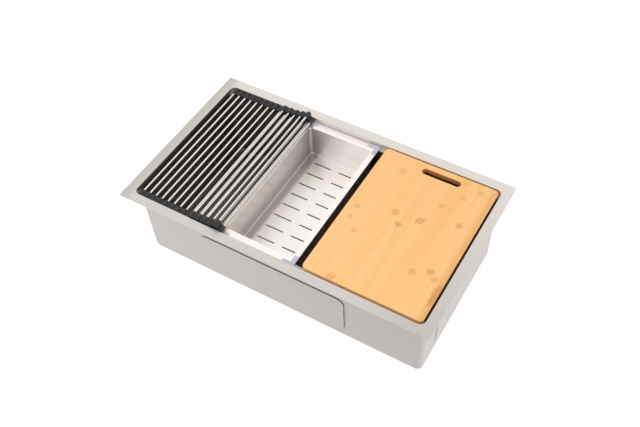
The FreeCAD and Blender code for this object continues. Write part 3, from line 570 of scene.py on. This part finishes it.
def bamboo(settings):
    """Glued strips of bamboo, with the grain along Y, joint marks, edges paler with painted light
    and a darker brown grip slot.
    """
    finish = Finish("bamboo")
    across = finish.x / settings.strip + 0.5
    strip = across.floor()
    tone = finish.pick(strip * 1.7 + 3.1)
    fibre = finish.noise(1.0, BAMBOO_FIBRE, detail=4.0, roughness=0.65)
    band = finish.noise(1.0, BAMBOO_BANDS, detail=3.0)
    board = finish.mixed(tone * 0.6 + band * 0.3, settings.bamboo, settings.pale)
    grain = fibre.above(0.62, 0.3) * 0.34 + (1 - band).above(0.56, 0.2) * 0.16
    board = finish.mixed(grain, board, settings.dark)
    seam = abs(across - strip - 0.5).above(0.485, 0.02)
    board = finish.mixed(seam * 0.18, board, settings.dark)

    smudge = finish.noise(120.0, SMUDGE, detail=4.0) - 0.5
    streak = finish.noise(1.0, MARK_STREAKS, detail=3.0)
    mark_smears = smudge * 1.5, smudge * 1.9
    marks = [blot(finish, (x, y), (half, half * MARK_FLATTENING), mark_smears, 0.9, 1.8) * strength
             for x, y, half, strength in JOINT_MARKS]
    mark = marks[0]
    for other in marks[1:]:
        mark = mark.larger(other)
    board = finish.mixed(mark * (streak * 1.1 + 0.05), board, settings.knot)
    stain = blot(finish, EDGE_STAIN[:2], EDGE_STAIN[2:], [smudge * 0.8] * 2, 0.6, 1.0)
    right_edge = finish.x.above(BOARD_HIGH.x - 12 * MM, 14 * MM) * 0.35
    board = finish.mixed((stain * (0.45 + band * 0.5)).larger(right_edge), board, settings.knot)

    # painted light makes the edges paler, and the grip slot's wall is a darker brown
    level = abs(finish.facing(UP))
    board = finish.mixed(level.below(0.4, 0.4) * 0.6, board, settings.pale)
    from_middle = abs(finish.x - (BOARD_LOW.x + BOARD_HIGH.x) / 2)
    off_ends = from_middle.below((BOARD_HIGH.x - BOARD_LOW.x) / 2 - 4 * MM, 1 * MM)
    off_sides = abs(finish.y).below(BOARD_HIGH.y - 4 * MM, 1 * MM)
    slot_wall = off_ends * off_sides * level.below(0.6, 0.3)
    board = finish.mixed(slot_wall * 0.9, board, settings.slot_brown)
    finish.bump(fibre, 0.05 * MM, 0.3)
    return finish.feed(Base_Color=board, Roughness=0.46 + (fibre - 0.5) * 0.2)


# modelling

def deselect_all():
    for piece in bpy.data.objects:
        piece.select_set(False)


def make_active(piece):
    deselect_all()
    piece.select_set(True)
    bpy.context.view_layer.objects.active = piece


def dress(piece, material):
    piece.data.materials.clear()
    piece.data.materials.append(material)


def dress_nodes(names, material):
    for name in names:
        dress(nodes[name], material)


def settle(piece):
    """Puts a finished piece's place into its mesh."""
    make_active(piece)
    bpy.ops.object.transform_apply(location=True, rotation=True, scale=True)


def apply_modifiers(piece):
    make_active(piece)
    for modifier in list(piece.modifiers):
        bpy.ops.object.modifier_apply(modifier=modifier.name)


def softened_copy(name, node, edge, segments):
    """A copy of a CAD solid with its sharp edges rounded."""
    piece = bpy.data.objects.new(name, nodes[node].data.copy())
    bpy.context.scene.collection.objects.link(piece)
    make_active(piece)
    bpy.ops.object.mode_set(mode="EDIT")
    bpy.ops.mesh.select_all(action="SELECT")
    bpy.ops.mesh.remove_doubles(threshold=0.002 * MM)
    bpy.ops.mesh.dissolve_limited(angle_limit=FLAT_ANGLE)
    bpy.ops.object.mode_set(mode="OBJECT")
    bevel = piece.modifiers.new("Soft edge", "BEVEL")
    bevel.width = edge
    bevel.segments = segments
    bevel.limit_method = "ANGLE"
    bevel.angle_limit = EDGE_ANGLE
    bevel.use_clamp_overlap = True
    bevel.miter_outer = "MITER_ARC"
    apply_modifiers(piece)
    make_active(piece)
    bpy.ops.object.shade_smooth_by_angle(angle=SMOOTH_ANGLE)
    return piece


def threaded(name, centre, radius, top, foot, pitch, depth):
    """A screw thread round an upright axis, wound down from its top."""
    start = (centre.x + radius, centre.y, top - depth)
    deselect_all()
    bpy.ops.mesh.primitive_circle_add(vertices=THREAD_SIDES, radius=depth, location=start)
    piece = bpy.context.active_object
    piece.name = name
    bpy.ops.object.mode_set(mode="EDIT")
    bpy.ops.mesh.select_all(action="SELECT")
    bpy.ops.transform.rotate(value=math.pi / 2, orient_axis="X", center_override=start)
    bpy.ops.object.mode_set(mode="OBJECT")
    settle(piece)
    bpy.context.scene.cursor.location = centre
    bpy.ops.object.origin_set(type="ORIGIN_CURSOR")
    turns = max(1, int((top - foot - 2 * depth) / pitch))
    screw = piece.modifiers.new("Thread", "SCREW")
    screw.axis = "Z"
    screw.angle = math.tau * turns
    screw.screw_offset = -pitch * turns
    screw.steps = screw.render_steps = STEPS_PER_TURN * turns
    screw.use_merge_vertices = False
    apply_modifiers(piece)
    bpy.ops.object.mode_set(mode="EDIT")
    bpy.ops.mesh.select_all(action="DESELECT")
    bpy.ops.mesh.select_non_manifold()
    bpy.ops.mesh.edge_face_add()
    bpy.ops.mesh.select_all(action="SELECT")
    bpy.ops.mesh.normals_make_consistent(inside=False)
    bpy.ops.object.mode_set(mode="OBJECT")
    bpy.context.scene.cursor.location = (0, 0, 0)
    settle(piece)
    make_active(piece)
    bpy.ops.object.shade_smooth_by_angle(angle=EDGE_ANGLE)
    return piece


class SINK_OT_bowl(bpy.types.Operator):
    """Finishes the bowl and its sound pads"""
    bl_idname = "sink.bowl"
    bl_label = "Bowl and Pads"

    def execute(self, context):
        settings = context.scene.sink_steel
        dress_nodes(["bowl"], satin_steel(settings))
        # painted light: the side pads' cut edges are paler
        dress_nodes(PAD_NODES, sound_coat("sound_coat", settings, scaled(settings.coat, 1.6)))
        # painted shadow on the front pad's cut edge
        dress_nodes([FRONT_PAD], sound_coat("front_pad_coat", settings, settings.pad_edge_shadow))
        return {"FINISHED"}


class SINK_OT_rack(bpy.types.Operator):
    """Finishes the rods and rounds the silicone bands"""
    bl_idname = "sink.rack"
    bl_label = "Roll-up Rack"

    def execute(self, context):
        settings = context.scene.sink_rack
        dress_nodes(ROD_NODES, rod_steel(settings))
        silicone = black_silicone(settings)
        for node in BAND_NODES:
            band = softened_copy("soft_" + node, node, settings.soft_edge, segments=2)
            dress(band, silicone)
            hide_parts(node)
            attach(band, nodes[node]["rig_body"])
        return {"FINISHED"}


class SINK_OT_tray(bpy.types.Operator):
    """Finishes the colander tray and its corner guards"""
    bl_idname = "sink.tray"
    bl_label = "Colander Tray"

    def execute(self, context):
        dress_nodes(["colander_tray"], tray_steel(context.scene.sink_steel))
        dress_nodes(GUARD_NODES, guard_plastic(context.scene.sink_board))
        return {"FINISHED"}


class SINK_OT_board(bpy.types.Operator):
    """Finishes the bamboo cutting board"""
    bl_idname = "sink.board"
    bl_label = "Cutting Board"

    def execute(self, context):
        dress_nodes(["cutting_board"], bamboo(context.scene.sink_board))
        return {"FINISHED"}


class SINK_OT_waste(bpy.types.Operator):
    """Finishes the strainer, its basket and the waste, and cuts their threads"""
    bl_idname = "sink.waste"
    bl_label = "Strainer and Waste"

    def execute(self, context):
        settings = context.scene.sink_waste
        steel = polished_steel(context.scene.sink_steel)
        rubber = moulded("black_rubber", settings.rubber, rough=0.6)
        plastic = moulded("white_plastic", settings.plastic, rough=0.4)
        fibre = moulded("washer_fibre", settings.fibre, rough=0.75, tone=0.15)
        dress_nodes(["strainer_body", "tailpiece", "basket_shell", "basket_post"], steel)
        dress_nodes(["strainer_seal", "rubber_gasket", "basket_stopper"], rubber)
        dress_nodes(["lock_nut", "tail_washer", "coupling_nut"], plastic)
        dress_nodes(["slip_washer"], fibre)
        for name, size in (("cup_thread", CUP_THREAD), ("outlet_thread", OUTLET_THREAD)):
            thread = threaded(name, DRAIN_AXIS, *size, settings.thread_pitch, settings.thread_depth)
            dress(thread, steel)
            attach(thread, nodes["strainer_body"]["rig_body"])
        return {"FINISHED"}


class SINK_OT_stage(bpy.types.Operator):
    """Lays the floor and sets the lamps and the camera"""
    bl_idname = "sink.stage"
    bl_label = "Stage"

    def execute(self, context):
        settings = context.scene.sink_studio
        context.scene.view_settings.view_transform = "Standard"
        lay_floor(settings)
        light_room(settings)
        place_camera(settings)
        return {"FINISHED"}


# the stage

# lamps: name, place, target, width, and the setting that holds the power
LAMPS = [
    ("key_lamp", (-0.9, -0.5, 2.2), (0, 0, -0.05), 2.6, "key"),
    ("fill_lamp", (-1.1, -1.5, 0.6), (-0.1, 0, -0.1), 2.0, "fill"),
    ("side_lamp", (2.3, 0.3, 0.5), (0.3, 0, -0.1), 2.0, "side"),
]


def background_rays(graph):
    """1 for rays that show the background: the camera's, and those that metal and glass send on."""
    camera, glossy, through = (
        graph.node("ShaderNodeLightPath", output=name)
        for name in ("Is Camera Ray", "Is Glossy Ray", "Is Transmission Ray"))
    return camera.larger(glossy).larger(through)


def lay_floor(settings):
    """A wide pale floor under the tailpiece's foot, white to the camera but for the shadow."""
    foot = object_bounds()[0].z
    deselect_all()
    bpy.ops.mesh.primitive_circle_add(vertices=64, radius=FLOOR_RADIUS, fill_type="NGON",
                                      location=(0, 0, foot - FLOOR_GAP))
    floor = bpy.context.active_object
    floor.name = "studio_floor"
    settle(floor)
    finish = Finish("studio_floor")
    finish.feed(Base_Color=settings.floor, Roughness=0.9, Emission_Color=(1.0, 1.0, 1.0))
    white = finish.node("ShaderNodeEmission", inputs={"Color": WHITE, "Strength": FLOOR_WHITE})
    glow = background_rays(finish) * FLOOR_GLOW
    finish.show(finish.node("ShaderNodeMixShader", inputs={0: glow, 1: finish.surface, 2: white}))
    dress(floor, finish.material)
    floor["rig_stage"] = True


def light_room(settings):
    """A white world that lights dimly and is seen at full strength, and three soft lamps."""
    world = bpy.data.worlds.new("studio")
    bpy.context.scene.world = world
    graph = Graph(world, "ShaderNodeOutputWorld")
    strength = graph.node("ShaderNodeMapRange", inputs={
        "Value": background_rays(graph), "To Min": settings.sky, "To Max": 1.0})
    graph.show(graph.node("ShaderNodeBackground", inputs={"Color": WHITE, "Strength": strength}))
    for name, place, target, width, power in LAMPS:
        add_lamp(name, place, target, width, getattr(settings, power))


def add_lamp(name, place, target, width, power):
    """A soft round lamp that metal doesn't mirror."""
    bpy.ops.object.light_add(type="AREA", location=place)
    lamp = bpy.context.active_object
    lamp.name = name
    lamp.data.shape = "DISK"
    lamp.data.size = width
    lamp.data.energy = power
    lamp.visible_glossy = False
    lamp.rotation_mode = "QUATERNION"
    lamp.rotation_quaternion = (Vector(target) - Vector(place)).to_track_quat("-Z", "Y")


def place_camera(settings):
    """Puts the camera where the photograph was taken from."""
    azimuth, elevation, roll = settings.azimuth, settings.elevation, settings.roll
    out = math.cos(elevation)
    back = Vector((math.sin(azimuth) * out, -math.cos(azimuth) * out, math.sin(elevation)))
    level = Vector((math.cos(azimuth), math.sin(azimuth), 0))
    upright = back.cross(level)
    right = level * math.cos(roll) + upright * math.sin(roll)
    up = upright * math.cos(roll) - level * math.sin(roll)
    data = bpy.data.cameras.new("camera")
    camera = bpy.data.objects.new("camera", data)
    bpy.context.scene.collection.objects.link(camera)
    data.lens = settings.focal * data.sensor_width / PICTURE_WIDTH
    data.shift_x = -settings.shift_x / PICTURE_WIDTH
    data.shift_y = settings.shift_y / PICTURE_WIDTH
    data.clip_end = 100.0
    place = Vector((settings.aim_x, settings.aim_y, 0)) + back * settings.distance
    turn = Matrix((right, up, back)).transposed().to_4x4()
    camera.matrix_world = Matrix.Translation(place) @ turn
    bpy.context.scene.camera = camera


OPERATORS = [SINK_OT_bowl, SINK_OT_rack, SINK_OT_tray, SINK_OT_board, SINK_OT_waste, SINK_OT_stage]


class SINK_PT_looks(bpy.types.Panel):
    """Lists the steps and their settings"""
    bl_label = "Workstation Sink"
    bl_idname = "SINK_PT_looks"
    bl_space_type = "VIEW_3D"
    bl_region_type = "UI"
    bl_category = "Sink"

    def draw(self, context):
        for operator in OPERATORS:
            self.layout.operator(operator.bl_idname)
        for name, group in SETTINGS.items():
            box = self.layout.box()
            box.label(text=group.__doc__)
            for setting in group.__annotations__:
                box.prop(getattr(context.scene, name), setting)


def register():
    for cls in (*SETTINGS.values(), *OPERATORS, SINK_PT_looks):
        bpy.utils.register_class(cls)
    for name, group in SETTINGS.items():
        setattr(bpy.types.Scene, name, bpy.props.PointerProperty(type=group))


def unregister():
    for name in SETTINGS:
        delattr(bpy.types.Scene, name)
    for cls in reversed((*SETTINGS.values(), *OPERATORS, SINK_PT_looks)):
        bpy.utils.unregister_class(cls)


def main():
    register()
    bpy.ops.sink.bowl()
    bpy.ops.sink.rack()
    bpy.ops.sink.tray()
    bpy.ops.sink.board()
    bpy.ops.sink.waste()
    bpy.ops.sink.stage()


if __name__ == "__main__":
    main()
